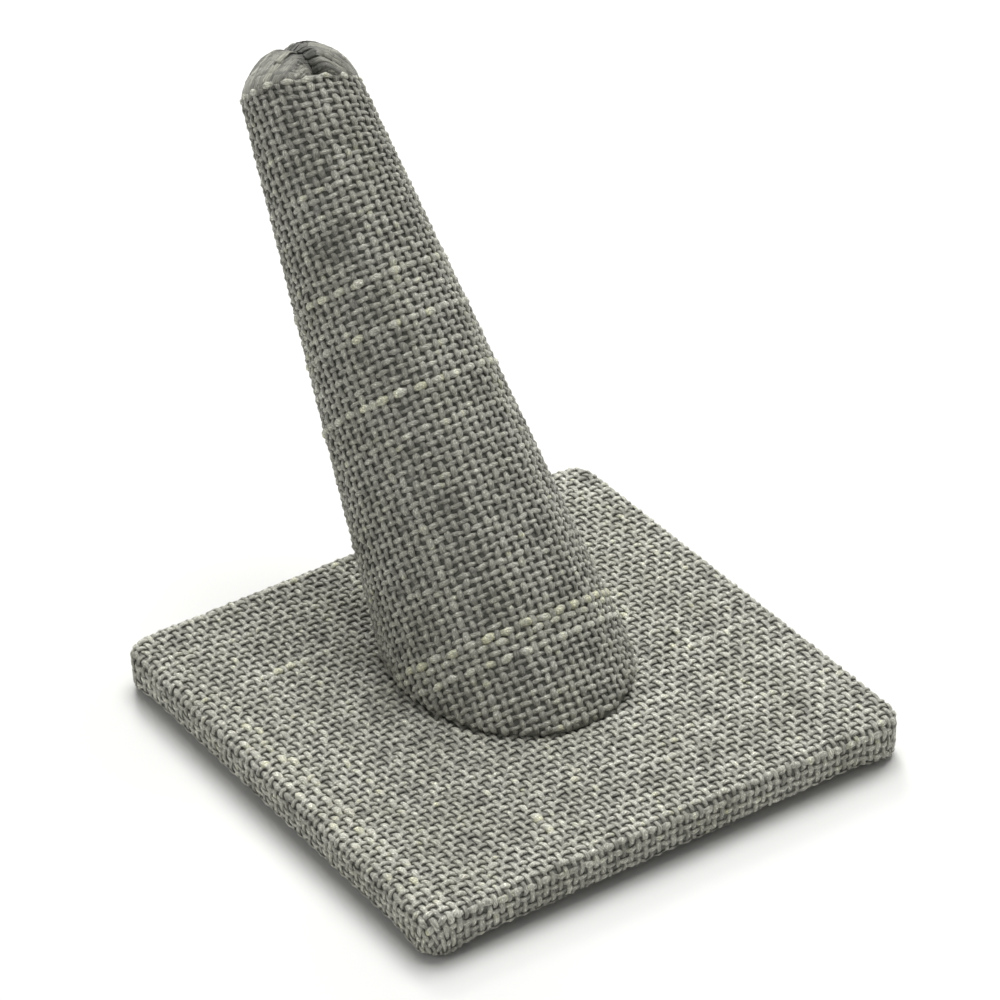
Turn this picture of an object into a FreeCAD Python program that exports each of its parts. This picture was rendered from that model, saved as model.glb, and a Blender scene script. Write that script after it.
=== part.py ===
import FreeCAD, Part
import math
import os
import Sketcher

# A finger form for showing one ring: a turned wooden cone in a linen sleeve,
# screwed at a lean to a square board that is wrapped in the same linen.
# Sizes are in millimetres. The origin is the middle of the underside, +Z is up,
# and the finger leans back towards +Y.

SIZES = (
    # cloth
    ("cloth_thickness", 0.65, "one layer of linen"),
    # base board
    ("board_side", 55.85, "square of thin MDF under the linen"),
    ("board_thickness", 3.1, "MDF"),
    ("board_corner_round", 2.35, "corners in plan"),
    # linen round the board
    ("wrap_edge_bevel", 0.75, "over the board's upper edges"),
    ("wrap_fold_bevel", 0.55, "round the board's lower edges"),
    ("hem_width", 9.0, "linen turned under each edge"),
    ("tuck_leg", 6.5, "short sides of the folded corner"),
    ("tuck_inset", 0.25, "folded corner, in from the wrapped edge"),
    ("tuck_drop", 0.7, "folded corner, below the hem"),
    ("row_pitch", 1.05, "from one row of yarn to the next, along the base"),
    ("row_gap", 0.3, "half the groove between two rows, at the surface"),
    ("row_depth", 0.2, "groove between two rows"),
    # felt under the board
    ("felt_margin", 4.6, "felt's edge, in from the base's edge"),
    ("felt_thickness", 0.8, "felt below the hem"),
    ("felt_corner_round", 3.0, "corners in plan"),
    ("felt_gap", 0.3, "between the felt's middle and the hem"),
    # wooden cone
    ("finger_lean", 34.46, "degrees from upright"),
    ("finger_offset_x", 1.93, "axis at the base's top face, sideways"),
    ("finger_offset_y", 3.79, "axis at the base's top face, towards the back"),
    ("foot_setback", 1.04, "middle of the slanted foot, in front of the axis"),
    ("core_foot_radius", 11.59, "wood, measured square to the axis at the base"),
    ("core_taper", 5.8, "degrees between the axis and the side"),
    ("core_length", 63.1, "wood along the axis, from the base"),
    ("core_end_radius", 3.0, "flat end of the wood"),
    ("core_bevel", 2.1, "bevel round the wood's end, along the axis"),
    # linen sleeve
    ("lip_width", 4.0, "sleeve turned in under the wood's foot"),
    ("lip_sides", 20, "snips in the turned-in linen"),
    ("tip_bunch", 1.5, "linen gathered over the wood's end"),
    ("dome_swell", 0.7, "how much wider the dome is than the side where the two meet"),
    ("shoulder_round", 2.8, "where the side meets the dome"),
    ("yarn_count", 44, "lengthwise yarns round the sleeve"),
    ("yarn_gap", 0.3, "half the groove between two yarns, at the base"),
    ("yarn_depth", 0.22, "groove between two yarns, at the base"),
    ("seam_width", 0.4, "where the sleeve's two edges meet at the back"),
    ("seam_depth", 0.3, "where the sleeve's two edges meet at the back"),
    # gathered end of the sleeve
    ("gather_turn", -91.0, "degrees about the axis, from +X"),
    ("gather_fall", 55.0, "degrees down from the axis to the gather"),
    ("throat_radius", 1.0, "pit in the gather, at the surface"),
    ("throat_end_radius", 0.35, "pit in the gather, at its bottom"),
    ("throat_depth", 1.7, "pit in the gather"),
    ("throat_clearance", 0.8, "how far the pit's cutter stands out of the linen"),
    ("pleat_count", 13, "furrows round the gather"),
    ("pleat_turn_angle", 10.0, "degrees round the gather from its foot side, first furrow"),
    ("pleat_start_angle", 4.5, "degrees from the gather, near end"),
    ("pleat_reach_angle", 27.0, "degrees from the gather, far end of a long one"),
    ("pleat_short_reach_angle", 19.0, "degrees from the gather, far end of a short one"),
    ("pleat_top_reach_angle", 38.0, "degrees from the gather, far end of the one over the top"),
    ("pleat_depth", 0.42, "furrow at its near end"),
    ("pleat_gap", 0.36, "half the furrow at its near end, at the surface"),
    ("pleat_narrowing_share", 0.3, "furrow at its far end, as a share of its near end"),
    ("tail_radius", 1.6, "bunched linen behind the gather"),
    ("tail_depth", 3.4, "bunched linen, down from the surface"),
    ("tail_gap", 0.55, "between the bunched linen and the wood"),
    ("thread_thickness", 0.4, "sewing thread, drawn tight round the bunched linen"),
    ("thread_turns", 2, "turns of it"),
    ("thread_depth", 2.3, "from the surface to the first turn"),
    # wood screw
    ("screw_length", 16.0, "over all"),
    ("screw_head_radius", 3.5, "countersunk head"),
    ("screw_shank_radius", 1.6, "shank"),
    ("screw_point", 2.2, "length of the point"),
    ("pilot_end", 0.6, "drilled hole in the wood, past the screw's point"),
    ("screw_passage_radius", 1.9, "hole through the board"),
    ("recess_half_length", 1.9, "cross recess, from the middle to an arm's end"),
    ("recess_half_width", 0.45, "cross recess, half an arm's width"),
    ("recess_depth", 1.5, "cross recess"),
)

doc = FreeCAD.newDocument("ring_finger_stand")
sheet = doc.addObject("Spreadsheet::Sheet", "Sizes")
for row, (alias, value, meaning) in enumerate(SIZES, start=1):
    sheet.set("A%d" % row, alias)
    sheet.set("B%d" % row, str(value))
    sheet.set("C%d" % row, meaning)
    sheet.setAlias("B%d" % row, alias)
doc.recompute()


def size(alias):
    """The number that the sheet holds under this name."""
    return float(getattr(sheet, alias))


def bind(thing, **expressions):
    """Ties properties of an object to sizes in the sheet."""
    for prop, expression in expressions.items():
        thing.setExpression(prop, expression)
    return thing


def place(thing, x="0", y="0", z="0", lean="0"):
    """Ties an object's place to the sheet: its origin, and its lean back towards +Y."""
    origin = "create(<<vector>>; %s; %s; %s)" % (x, y, z)
    turn = "create(<<rotation>>; create(<<vector>>; 1; 0; 0); -(%s))" % lean
    thing.setExpression("Placement", "create(<<placement>>; %s; %s)" % (origin, turn))
    return thing


HEM_Z = "Sizes.felt_thickness"
BOARD_Z = "Sizes.felt_thickness + Sizes.cloth_thickness"
FOOT_X = "Sizes.finger_offset_x"
FOOT_Y = "Sizes.finger_offset_y - Sizes.foot_setback"
BASE_TOP_Z = "Sizes.felt_thickness + 2 * Sizes.cloth_thickness + Sizes.board_thickness"
WRAP_SIDE = "Sizes.board_side + 2 * Sizes.cloth_thickness"
OUTER_FOOT = "(Sizes.core_foot_radius + Sizes.cloth_thickness / cos(Sizes.core_taper * 1deg))"
SLEEVE_TOP = "(Sizes.core_length + Sizes.tip_bunch)"
SLOPE = "tan(Sizes.core_taper * 1deg)"
# The dome's middle is where its radius is the side's there and the swell.
DOME_Z = "(%s - %s - Sizes.dome_swell) / (1 - %s)" % (SLEEVE_TOP, OUTER_FOOT, SLOPE)
FINGER = {
    "x": "Sizes.finger_offset_x",
    "y": "Sizes.finger_offset_y",
    "z": BASE_TOP_Z,
    "lean": "Sizes.finger_lean",
}
base_top = size("felt_thickness") + 2 * size("cloth_thickness") + size("board_thickness")

# Points nearer than this are taken as the same.
TOUCH = 1e-4
# The cone is turned this much longer than its slanted foot needs.
TURNING_WASTE = 1.5
# A block that is cut away at the foot reaches this many of the foot's radii.
WASTE_REACH = 3
# The bunched linen starts this share of a cloth's thickness below the skin.
TAIL_START = 0.6
# A groove's cutter stands out of the surface by this share of the groove's depth.
PROUD = 0.8


# How the bodies are built

def new_body(label):
    """An empty body for features."""
    body = doc.addObject("PartDesign::Body", label)
    body.Label = label
    return body


def plane_of(body, role):
    """One of the body's own origin planes."""
    return [plane for plane in body.Origin.OriginFeatures if plane.Role == role][0]


def sketch_of(body, name, corners, plane="XY_Plane"):
    """A closed outline on one of the body's own planes, its corners tied to the sheet."""
    sketch = body.newObject("Sketcher::SketchObject", name)
    sketch.AttachmentSupport = (plane_of(body, plane), [""])
    sketch.MapMode = "FlatFace"
    points = [FreeCAD.Vector(solve(x), solve(y), 0) for x, y in corners]
    count = len(points)
    for i in range(count):
        sketch.addGeometry(Part.LineSegment(points[i], points[(i + 1) % count]), False)
    for i in range(count):
        sketch.addConstraint(Sketcher.Constraint("Coincident", i, 2, (i + 1) % count, 1))
    for i, (x, y) in enumerate(corners):
        tie(sketch, "DistanceX", (i, 1), x)
        tie(sketch, "DistanceY", (i, 1), y)
    return sketch


def tie(sketch, kind, point, expression):
    """Ties how far a point lies from the sketch's origin, across or along."""
    number = sketch.addConstraint(Sketcher.Constraint(kind, -1, 1, *point, solve(expression)))
    sketch.setExpression("Constraints[%d]" % number, expression)


def solve(expression):
    """What an expression on the sheet comes to now, for a sketch's first outline."""
    value = sheet.evalExpression(expression)
    return float(getattr(value, "Value", value))


def square(half):
    """The corners of a square about the origin, from half its side."""
    return [("-(%s)" % half, "-(%s)" % half), (half, "-(%s)" % half), (half, half), ("-(%s)" % half, half)]


def pad(body, name, sketch, length):
    """Raises an outline off its plane."""
    feature = body.newObject("PartDesign::Pad", name)
    feature.Profile = sketch
    bind(feature, Length=length)
    doc.recompute()
    return feature


def turn(body, name, sketch):
    """Turns an outline once round the body's Z axis."""
    feature = body.newObject("PartDesign::Revolution", name)
    feature.Profile = sketch
    feature.ReferenceAxis = (sketch, ["V_Axis"])
    feature.Angle = 360
    doc.recompute()
    return feature


def edges_of(shape, wanted):
    """The names of the edges whose every point passes a test."""
    names = []
    for number, edge in enumerate(shape.Edges, start=1):
        if not edge.Degenerated and all(wanted(point) for point in edge.discretize(5)):
            names.append("Edge%d" % number)
    return names


def round_off(body, name, feature, radius, wanted):
    """A fillet on the edges of a feature whose points pass a test."""
    fillet = body.newObject("PartDesign::Fillet", name)
    fillet.Base = (feature, edges_of(feature.Shape, wanted))
    bind(fillet, Radius=radius)
    doc.recompute()
    return fillet


def bevel(body, name, feature, width, wanted):
    """A chamfer on the edges of a feature whose points pass a test."""
    chamfer = body.newObject("PartDesign::Chamfer", name)
    chamfer.Base = (feature, edges_of(feature.Shape, wanted))
    bind(chamfer, Size=width)
    doc.recompute()
    return chamfer


def tablet(label, side, thickness, corner_round):
    """A square plate with its corners rounded in plan, and its last feature."""
    body = new_body(label)
    outline = sketch_of(body, label + "_outline", square("(%s) / 2" % side))
    plate = pad(body, label + "_plate", outline, thickness)
    half = solve(side) / 2
    corners = round_off(
        body, label + "_corners", plate, corner_round,
        lambda p: abs(abs(p.x) - half) < TOUCH and abs(abs(p.y) - half) < TOUCH,
    )
    return body, corners


# Operations between whole solids

def cut(label, base, *tools):
    """Takes the tools off the base, one after the other."""
    last = len(tools) - 1
    for number, tool in enumerate(tools):
        name = label if number == last else "%s_cut_%d" % (label, number)
        result = doc.addObject("Part::Cut", name)
        result.Label = name
        result.Base = base
        result.Tool = tool
        doc.recompute()
        base = result
    return base


def join(label, *shapes):
    """Joins whole solids into one."""
    result = doc.addObject("Part::MultiFuse", label)
    result.Label = label
    result.Shapes = list(shapes)
    doc.recompute()
    return result


def block(label, x, y, z, length, width, height):
    """A box from its lowest corner."""
    box = doc.addObject("Part::Box", label)
    place(box, x, y, z)
    return bind(box, Length=length, Width=width, Height=height)


def trough(low, high):
    """A solid between two triangles of one shape that lie parallel, each a keel and two rims."""
    sides = [[low[i], low[(i + 1) % 3], high[(i + 1) % 3], high[i]] for i in range(3)]
    faces = [Part.Face(Part.makePolygon(outline + [outline[0]])) for outline in [low, high] + sides]
    solid = Part.Solid(Part.Shell(faces))
    if solid.Volume < 0:
        solid.reverse()
    return solid


def grooves(label, troughs, placement):
    """Cutters that are taken off together, because none of them meets another."""
    cutters = doc.addObject("Part::Feature", label)
    cutters.Label = label
    cutters.Shape = Part.makeCompound(troughs)
    cutters.Placement = placement
    return cutters


# Board and what wraps it

def make_board_blank():
    """The MDF square without its screw hole."""
    body = tablet("board_blank", "Sizes.board_side", "Sizes.board_thickness", "Sizes.board_corner_round")[0]
    return place(body, z=BOARD_Z)


def make_wrap():
    """The linen's outside round the board, with a folded tuck under each corner."""
    thickness = "Sizes.board_thickness + 2 * Sizes.cloth_thickness"
    body, corners = tablet("wrap", WRAP_SIDE, thickness, "Sizes.board_corner_round + Sizes.cloth_thickness")
    top = solve(thickness)
    upper = bevel(body, "wrap_edges", corners, "Sizes.wrap_edge_bevel", lambda p: abs(p.z - top) < TOUCH)
    bevel(body, "wrap_folds", upper, "Sizes.wrap_fold_bevel", lambda p: abs(p.z) < TOUCH)
    place(body, z=HEM_Z)
    return join("wrap_with_tucks", body, *[make_tuck(quarter) for quarter in range(4)])


def make_tuck(quarter):
    """The linen folded in under one corner of the board, a triangle in plan."""
    label = "tuck_%d" % quarter
    outer = "(%s) / 2 - Sizes.tuck_inset" % WRAP_SIDE
    inner = "%s - Sizes.tuck_leg" % outer
    body = new_body(label)
    outline = sketch_of(body, label + "_outline", [(inner, outer), (outer, inner), (outer, outer)])
    fold = pad(body, label + "_fold", outline, "Sizes.tuck_drop + Sizes.cloth_thickness")
    rim = solve(outer)
    corner_round = "Sizes.board_corner_round + Sizes.cloth_thickness - Sizes.tuck_inset"
    round_off(
        body, label + "_corner", fold, corner_round,
        lambda p: abs(p.x - rim) < TOUCH and abs(p.y - rim) < TOUCH,
    )
    low = FreeCAD.Vector(0, 0, solve(HEM_Z) - size("tuck_drop"))
    body.Placement = FreeCAD.Placement(low, FreeCAD.Rotation(FreeCAD.Vector(0, 0, 1), 90 * quarter))
    return body


def make_rows():
    """Grooves between the rows of yarn that cross the base from side to side."""
    rim = solve(WRAP_SIDE) / 2
    count = math.floor((2 * rim - 2 * size("wrap_edge_bevel")) / size("row_pitch"))
    depth = size("row_depth")
    high = depth * PROUD
    half = size("row_gap") * (1 + PROUD)
    troughs = []
    for number in range(count + 1):
        y = (number - count / 2) * size("row_pitch")
        ends = []
        for x in (-rim, rim):
            keel = FreeCAD.Vector(x, y, -depth)
            ends.append([keel, FreeCAD.Vector(x, y - half, high), FreeCAD.Vector(x, y + half, high)])
        troughs.append(trough(*ends))
    level = FreeCAD.Placement(FreeCAD.Vector(0, 0, base_top), FreeCAD.Rotation())
    return grooves("rows", troughs, level)


def make_base_cloth(board_blank, screw_passage):
    """Linen over the board: its outside, less the board, the open middle and the screw hole."""
    half = "(%s) / 2 - Sizes.hem_width" % WRAP_SIDE
    start = "-(%s)" % half
    side = "2 * (%s)" % half
    hem_window = block("hem_window", start, start, HEM_Z, side, side, "2 * Sizes.cloth_thickness")
    return cut("base_cloth", make_wrap(), board_blank, hem_window, screw_passage, make_rows())


def make_bottom_pad():
    """Felt glued over the hem, pressed up against the board inside it."""
    side = WRAP_SIDE + " - 2 * Sizes.felt_margin"
    body = tablet("bottom_pad", side, "Sizes.felt_thickness", "Sizes.felt_corner_round")[0]
    half = "(%s) / 2 - Sizes.hem_width - Sizes.felt_gap" % WRAP_SIDE
    pad(body, "pressed_middle", sketch_of(body, "middle_outline", square(half)), BOARD_Z)
    return place(body)


# Wooden cone

def foot_waste(label, radius, level):
    """What the slanted foot is cut off with: a block whose top lies at a level."""
    reach = "%s * %s" % (WASTE_REACH, radius)
    return block(
        label, "Sizes.finger_offset_x - " + reach, "Sizes.finger_offset_y - " + reach,
        level + " - " + reach, "2 * " + reach, "2 * " + reach, reach,
    )


def make_core_blank():
    """The wooden cone, bevelled at its end, its slanted foot a cloth's thickness above the base."""
    body = new_body("core_turning")
    start = "-%s * Sizes.core_foot_radius * tan(Sizes.finger_lean * 1deg)" % TURNING_WASTE
    bevel_start = "Sizes.core_length - Sizes.core_bevel"
    outline = [
        ("0", start),
        ("Sizes.core_foot_radius - (%s) * %s" % (start, SLOPE), start),
        ("Sizes.core_foot_radius - (%s) * %s" % (bevel_start, SLOPE), bevel_start),
        ("Sizes.core_end_radius", "Sizes.core_length"),
        ("0", "Sizes.core_length"),
    ]
    turn(body, "core_cone", sketch_of(body, "core_outline", outline, "XZ_Plane"))
    place(body, **FINGER)
    waste = foot_waste("core_waste", "Sizes.core_foot_radius", BASE_TOP_Z + " + Sizes.cloth_thickness")
    return cut("core_blank", body, waste)


def shoulder_points():
    """Where the straight side ends, and the angle at which the dome's arc starts.

    An arc of the shoulder's radius that touches the side and the dome does so at these two places.
    """
    middle = solve(DOME_Z)
    taper = math.radians(size("core_taper"))
    rounding = size("shoulder_round")
    inner = solve(OUTER_FOOT) - middle * math.tan(taper) - rounding / math.cos(taper)
    reach = solve(SLEEVE_TOP) - middle - rounding
    rise = (inner * math.tan(taper) + math.sqrt(
        reach ** 2 / math.cos(taper) ** 2 - inner ** 2)) * math.cos(taper) ** 2
    centre = FreeCAD.Vector(inner - rise * math.tan(taper), middle + rise, 0)
    side_top = centre + FreeCAD.Vector(math.cos(taper), math.sin(taper), 0) * rounding
    return side_top, math.atan2(rise, centre.x)


def make_sleeve_blank():
    """The sleeve's outside: a cone with a domed end, cut off level with the base."""
    body = new_body("sleeve_turning")
    start = "-%s * %s * tan(Sizes.finger_lean * 1deg)" % (TURNING_WASTE, OUTER_FOOT)
    wide = "%s - (%s) * %s" % (OUTER_FOOT, start, SLOPE)
    dome = "(%s - %s)" % (SLEEVE_TOP, DOME_Z)
    side_top, joint = shoulder_points()

    # The dome's arc is struck from the axis, and a bevel joins it to the straight side.
    middle = FreeCAD.Vector(0, solve(DOME_Z), 0)
    low = FreeCAD.Vector(0, solve(start), 0)
    corner = FreeCAD.Vector(solve(wide), solve(start), 0)
    top = FreeCAD.Vector(0, solve(SLEEVE_TOP), 0)
    arc = Part.ArcOfCircle(Part.Circle(middle, FreeCAD.Vector(0, 0, 1), solve(dome)), joint, math.pi / 2)

    sketch = body.newObject("Sketcher::SketchObject", "sleeve_outline")
    sketch.AttachmentSupport = (plane_of(body, "XZ_Plane"), [""])
    sketch.MapMode = "FlatFace"
    for line in ((low, corner), (corner, side_top), (side_top, arc.StartPoint)):
        sketch.addGeometry(Part.LineSegment(*line), False)
    sketch.addGeometry(arc, False)
    sketch.addGeometry(Part.LineSegment(top, low), False)
    lines = sketch.GeometryCount
    for line in range(lines):
        sketch.addConstraint(Sketcher.Constraint("Coincident", line, 2, (line + 1) % lines, 1))
    tie(sketch, "DistanceX", (0, 1), "0")
    tie(sketch, "DistanceY", (0, 1), start)
    tie(sketch, "DistanceX", (0, 2), wide)
    tie(sketch, "DistanceY", (0, 2), start)
    tie(sketch, "DistanceX", (3, 3), "0")
    tie(sketch, "DistanceY", (3, 3), DOME_Z)
    tie(sketch, "DistanceX", (3, 2), "0")
    tie(sketch, "DistanceY", (3, 2), SLEEVE_TOP)
    sketch.addConstraint(Sketcher.Constraint("DistanceX", -1, 1, 1, 2, side_top.x))
    sketch.addConstraint(Sketcher.Constraint("DistanceY", -1, 1, 1, 2, side_top.y))
    sketch.addConstraint(Sketcher.Constraint("DistanceX", -1, 1, 3, 1, arc.StartPoint.x))
    turn(body, "sleeve_cone", sketch)
    place(body, **FINGER)
    return cut("sleeve_blank", body, foot_waste("sleeve_waste", OUTER_FOOT, BASE_TOP_Z))


# The gathered end, set out round a line from the middle of the rounded tip

def along_finger(x=0.0, y=0.0, z=0.0, tip_forward=0.0):
    """A frame on the finger: Z up its axis from the base, turned about X towards the front."""
    lean = FreeCAD.Rotation(FreeCAD.Vector(1, 0, 0), -size("finger_lean"))
    foot = FreeCAD.Vector(size("finger_offset_x"), size("finger_offset_y"), base_top)
    turned = FreeCAD.Rotation(FreeCAD.Vector(1, 0, 0), tip_forward)
    local = FreeCAD.Placement(FreeCAD.Vector(x, y, z), turned)
    return FreeCAD.Placement(foot, lean).multiply(local)


def gather_frame():
    """A frame in the middle of the rounded tip whose Z points out through the gather."""
    about = FreeCAD.Rotation(FreeCAD.Vector(0, 0, 1), size("gather_turn"))
    fall = FreeCAD.Rotation(FreeCAD.Vector(0, 1, 0), size("gather_fall"))
    way = FreeCAD.Placement(FreeCAD.Vector(0, 0, 0), about.multiply(fall))
    return along_finger(z=solve(DOME_Z)).multiply(way)


def skin_point(sleeve_blank, around, off):
    """Where a line from the tip's middle leaves the sleeve, in the gather's frame.

    The line is turned by the angle off from the gather, in the direction around it.
    """
    off = math.radians(off)
    around = math.radians(around)
    way = FreeCAD.Vector(
        math.sin(off) * math.cos(around), math.sin(off) * math.sin(around), math.cos(off)
    )
    frame = gather_frame()
    start = frame.multVec(FreeCAD.Vector(0, 0, 0))
    end = frame.multVec(way * size("core_length"))
    return way * Part.makeLine(start, end).common(sleeve_blank.Shape).Length


def below_skin(thing, skin, depth):
    """Sets a solid on the gather's line, its origin at a depth below the skin."""
    level = FreeCAD.Placement(FreeCAD.Vector(0, 0, skin - depth), FreeCAD.Rotation())
    thing.Placement = gather_frame().multiply(level)
    return thing


def make_pleats(sleeve_blank):
    """Furrows that run out from the gather, deepest beside it, every other one shorter."""
    count = round(size("pleat_count"))
    over_top = count // 2
    depth = size("pleat_depth")
    clear = depth * PROUD
    narrowing = size("pleat_narrowing_share")
    pleats = []
    for number in range(count):
        around = size("pleat_turn_angle") + 360.0 * number / count
        reach = size("pleat_reach_angle") if number % 2 else size("pleat_short_reach_angle")
        if number == over_top:
            reach = size("pleat_top_reach_angle")
        near = skin_point(sleeve_blank, around, size("pleat_start_angle"))
        far = skin_point(sleeve_blank, around, reach)
        along = (far - near).normalize()
        across = (near + far).cross(along).normalize()
        out = along.cross(across)
        ends = []
        for keel, share in ((near - out * depth, 1.0), (far, narrowing)):
            rim = keel + out * (depth + clear) * share
            half = across * size("pleat_gap") * (1 + PROUD) * share
            ends.append([keel, rim - half, rim + half])
        pleats.append(grooves("pleat_%d" % number, [trough(*ends)], gather_frame()))
    return pleats


def make_yarn_gaps():
    """Grooves between the lengthwise yarns, which draw together towards the sleeve's end."""
    count = round(size("yarn_count"))
    foot = solve(OUTER_FOOT)
    peak = foot / math.tan(math.radians(size("core_taper")))
    low = -TURNING_WASTE * foot * math.tan(math.radians(size("finger_lean")))
    depth = size("yarn_depth")
    half = size("yarn_gap") * (1 + PROUD)
    section = [(foot - depth, 0), (foot + depth * PROUD, -half), (foot + depth * PROUD, half)]
    about = FreeCAD.Vector(0, 0, 1)
    troughs = []
    for number in range(count):
        turned = FreeCAD.Rotation(about, 90 + 360.0 * (number + 0.5) / count)
        ends = []
        for z in (low, shoulder_points()[0].y):
            share = (peak - z) / peak
            ends.append([turned.multVec(FreeCAD.Vector(r * share, t * share, z)) for r, t in section])
        troughs.append(trough(*ends))
    return grooves("yarn_gaps", troughs, along_finger())


def folded_tail(label, radius, height):
    """A prism with a face for each pleat, as the bunched linen has."""
    prism = doc.addObject("Part::Prism", label)
    return bind(prism, Polygon="Sizes.pleat_count", Circumradius=radius, Height=height)


def make_gather_thread(skin):
    """The thread that is drawn tight round the bunched linen."""
    height = "Sizes.thread_turns * Sizes.thread_thickness"
    wound = folded_tail("thread_wound", "Sizes.tail_radius + Sizes.thread_thickness", height)
    waist = folded_tail("thread_waist", "Sizes.tail_radius", height)
    for thing in (wound, waist):
        below_skin(thing, skin, size("thread_depth") + solve(height))
    return cut("gather_thread", wound, waist)


def make_finger_cloth(sleeve_blank, core_blank, skin):
    """The sleeve: its outside less the wood, with the lip, the gather and the back seam."""
    foot_radius = size("core_foot_radius")
    lip_window = doc.addObject("Part::Prism", "lip_window")
    lip_radius = "Sizes.core_foot_radius - Sizes.lip_width"
    bind(lip_window, Polygon="Sizes.lip_sides", Circumradius=lip_radius, Height="2 * Sizes.cloth_thickness")
    place(lip_window, FOOT_X, FOOT_Y, BASE_TOP_Z + " - Sizes.cloth_thickness")

    seam = doc.addObject("Part::Box", "back_seam")
    bind(seam, Length="Sizes.seam_width", Width="Sizes.seam_depth + Sizes.cloth_thickness")
    bind(seam, Height="Sizes.core_foot_radius + " + DOME_Z)
    taper = math.radians(size("core_taper"))
    start = solve(OUTER_FOOT) - size("seam_depth") + foot_radius * math.tan(taper)
    seam.Placement = along_finger(-size("seam_width") / 2, start, -foot_radius, size("core_taper"))

    throat = doc.addObject("Part::Cone", "gather_throat")
    flare = "(Sizes.throat_radius - Sizes.throat_end_radius) / Sizes.throat_depth * Sizes.throat_clearance"
    bind(throat, Radius1="Sizes.throat_end_radius", Radius2="Sizes.throat_radius + " + flare)
    bind(throat, Height="Sizes.throat_depth + Sizes.throat_clearance")
    below_skin(throat, skin, size("throat_depth"))

    tail_height = "Sizes.tail_depth - %s * Sizes.cloth_thickness" % TAIL_START
    tail = folded_tail("bunched_tail", "Sizes.tail_radius", tail_height)
    below_skin(tail, skin, size("tail_depth"))

    wood = cut("wood_round_tail", core_blank, tail)
    pleats = make_pleats(sleeve_blank)
    return cut("finger_cloth", sleeve_blank, wood, lip_window, throat, *pleats, seam, make_yarn_gaps())


def make_finger_core(core_blank, skin):
    """The wooden cone with the screw's pilot hole and room for the bunched linen."""
    pilot = doc.addObject("Part::Cylinder", "pilot_hole")
    bind(pilot, Radius="Sizes.screw_shank_radius", Height="Sizes.screw_length + Sizes.pilot_end")
    place(pilot, FOOT_X, FOOT_Y, BOARD_Z)
    recess = doc.addObject("Part::Cylinder", "core_recess")
    bind(recess, Radius="Sizes.tail_radius + Sizes.tail_gap")
    bind(recess, Height="Sizes.tail_depth + Sizes.tail_gap + Sizes.throat_clearance")
    below_skin(recess, skin, size("tail_depth") + size("tail_gap"))
    return cut("finger_core", core_blank, pilot, recess)


# Screw

def make_screw_passage():
    """The countersunk hole up through the board and the linen on it."""
    body = new_body("screw_passage")
    end = "Sizes.board_thickness + 2 * Sizes.cloth_thickness"
    outline = [
        ("0", "0"),
        ("Sizes.screw_head_radius", "0"),
        ("Sizes.screw_passage_radius", "Sizes.screw_head_radius - Sizes.screw_passage_radius"),
        ("Sizes.screw_passage_radius", end),
        ("0", end),
    ]
    turn(body, "screw_passage_turned", sketch_of(body, "screw_passage_outline", outline, "XZ_Plane"))
    return place(body, FOOT_X, FOOT_Y, BOARD_Z)


def make_fixing_screw():
    """A countersunk wood screw with a cross recess, its head level with the board's underside."""
    body = new_body("fixing_screw")
    outline = [
        ("0", "0"),
        ("Sizes.screw_head_radius", "0"),
        ("Sizes.screw_shank_radius", "Sizes.screw_head_radius - Sizes.screw_shank_radius"),
        ("Sizes.screw_shank_radius", "Sizes.screw_length - Sizes.screw_point"),
        ("0", "Sizes.screw_length"),
    ]
    turn(body, "screw_turned", sketch_of(body, "screw_outline", outline, "XZ_Plane"))

    near = "Sizes.recess_half_width"
    far = "Sizes.recess_half_length"
    cross = [
        (near, near), (near, far), ("-" + near, far), ("-" + near, near),
        ("-" + far, near), ("-" + far, "-" + near), ("-" + near, "-" + near), ("-" + near, "-" + far),
        (near, "-" + far), (near, "-" + near), (far, "-" + near), (far, near),
    ]
    recess = body.newObject("PartDesign::Pocket", "cross_recess")
    recess.Profile = sketch_of(body, "cross_outline", cross)
    recess.Reversed = True
    bind(recess, Length="Sizes.recess_depth")
    doc.recompute()
    return place(body, FOOT_X, FOOT_Y, BOARD_Z)


# The whole stand

board_blank = make_board_blank()
screw_passage = make_screw_passage()
fixing_screw = make_fixing_screw()
core_blank = make_core_blank()
sleeve_blank = make_sleeve_blank()
gather_skin = skin_point(sleeve_blank, 0, 0).Length
gather_thread = make_gather_thread(gather_skin)

sub_parts = [
    cut("base_board", board_blank, screw_passage),
    make_base_cloth(board_blank, screw_passage),
    make_bottom_pad(),
    make_finger_core(core_blank, gather_skin),
    make_finger_cloth(sleeve_blank, core_blank, gather_skin),
    fixing_screw,
    gather_thread,
]
doc.recompute()

for thing in doc.Objects:
    if "Invalid" in thing.State or "Error" in thing.State:
        raise RuntimeError("%s failed to build: %s" % (thing.Label, thing.State))
for thing in sub_parts:
    if thing.Shape.isNull() or not thing.Shape.isValid() or not thing.Shape.Solids:
        raise RuntimeError("%s is not a valid solid" % thing.Label)

os.makedirs("parts", exist_ok=True)
for thing in sub_parts:
    thing.Shape.exportStep("parts/%s.step" % thing.Label)
    box = thing.Shape.BoundBox
    print("%-14s %6.2f %6.2f %6.2f mm, %8.1f mm3, %d solid" % (
        thing.Label, box.XLength, box.YLength, box.ZLength, thing.Shape.Volume, len(thing.Shape.Solids)))
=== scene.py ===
"""Looks of the ring display stand: linen woven yarn by yarn over a square base and a leaning finger."""
import math
import bpy
import bmesh
import numpy as np
from mathutils import Matrix, Vector


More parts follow.
